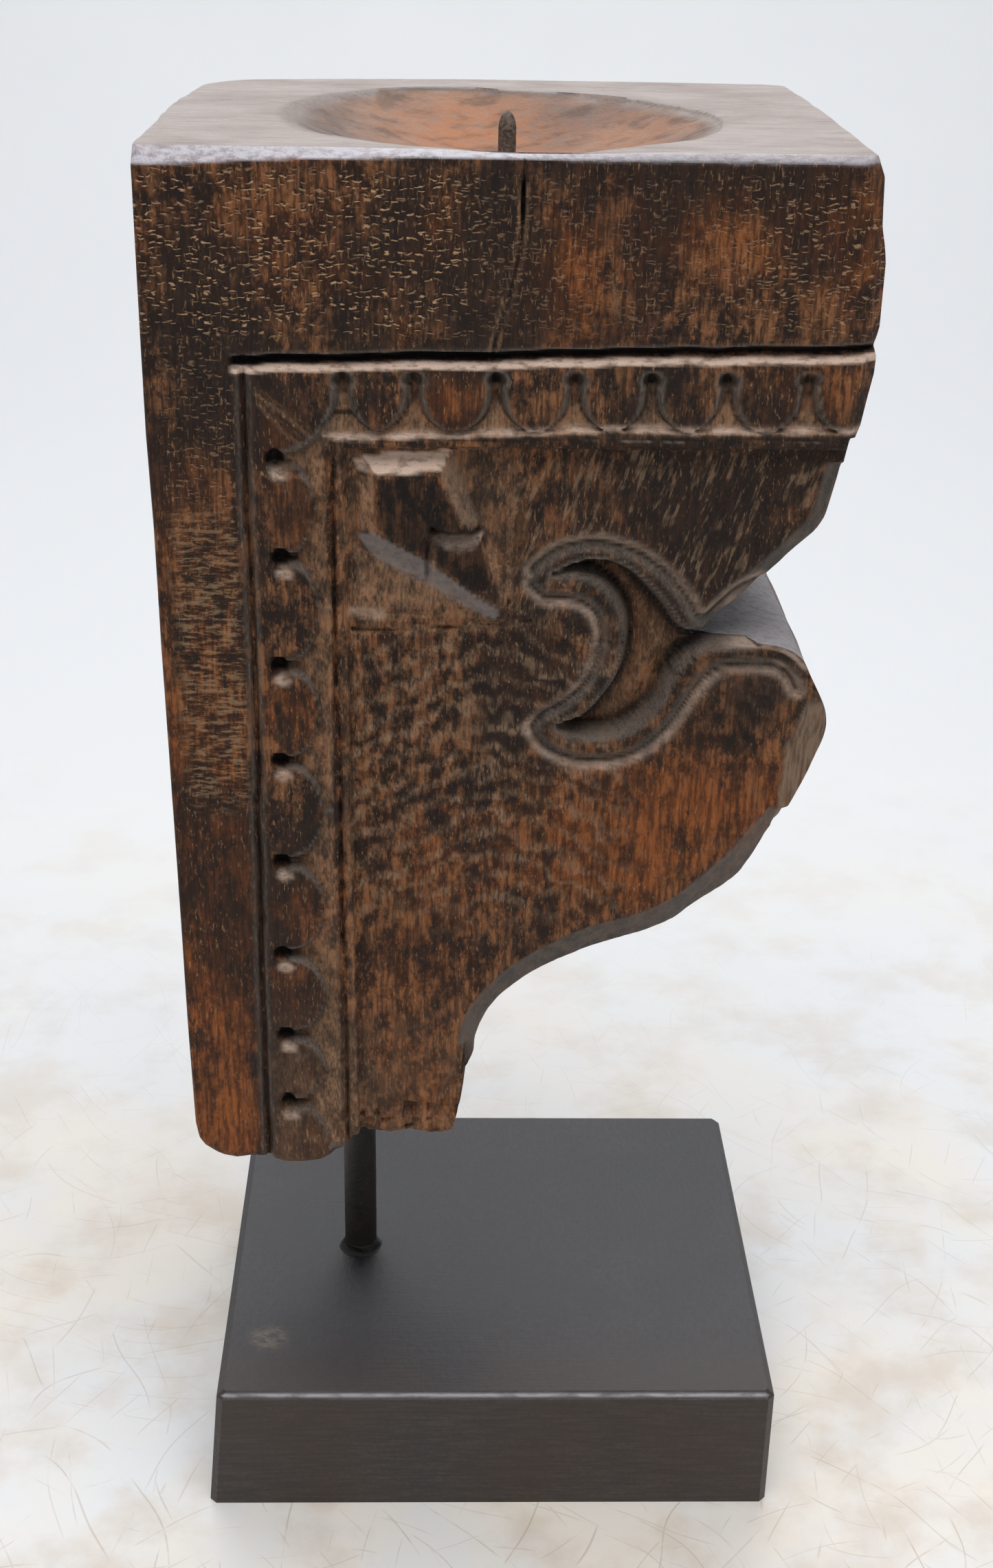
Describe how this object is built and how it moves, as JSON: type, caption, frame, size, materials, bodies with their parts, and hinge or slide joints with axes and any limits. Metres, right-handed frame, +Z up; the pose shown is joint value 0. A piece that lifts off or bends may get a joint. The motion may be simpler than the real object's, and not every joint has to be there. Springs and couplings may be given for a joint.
{
  "type": "pricket candle stand",
  "caption": "Carved hardwood bracket on an iron rod and painted wooden plinth, with a dished top and iron pricket that holds a pillar candle.",
  "frame": {"origin": "middle of the plinth's underside, where the stand rests", "axes": "+Z up; -Y is the front, towards the viewer of the carved cheek; +X is to the viewer's right"},
  "size_m": [0.1317, 0.115, 0.3088],
  "materials": {
    "painted_wood": "satin black paint",
    "iron": "blackened, a little rusted",
    "filler": "matt black filler",
    "hardwood": "old hand-rubbed patina"
  },
  "bodies": {
    "root": {"base_block": "painted_wood", "rod_washer": "iron", "rod_nut": "iron", "stand_rod": "iron", "rod_bead": "filler", "carved_bracket": "hardwood", "candle_pricket": "iron"}
  },
  "joints": []
}
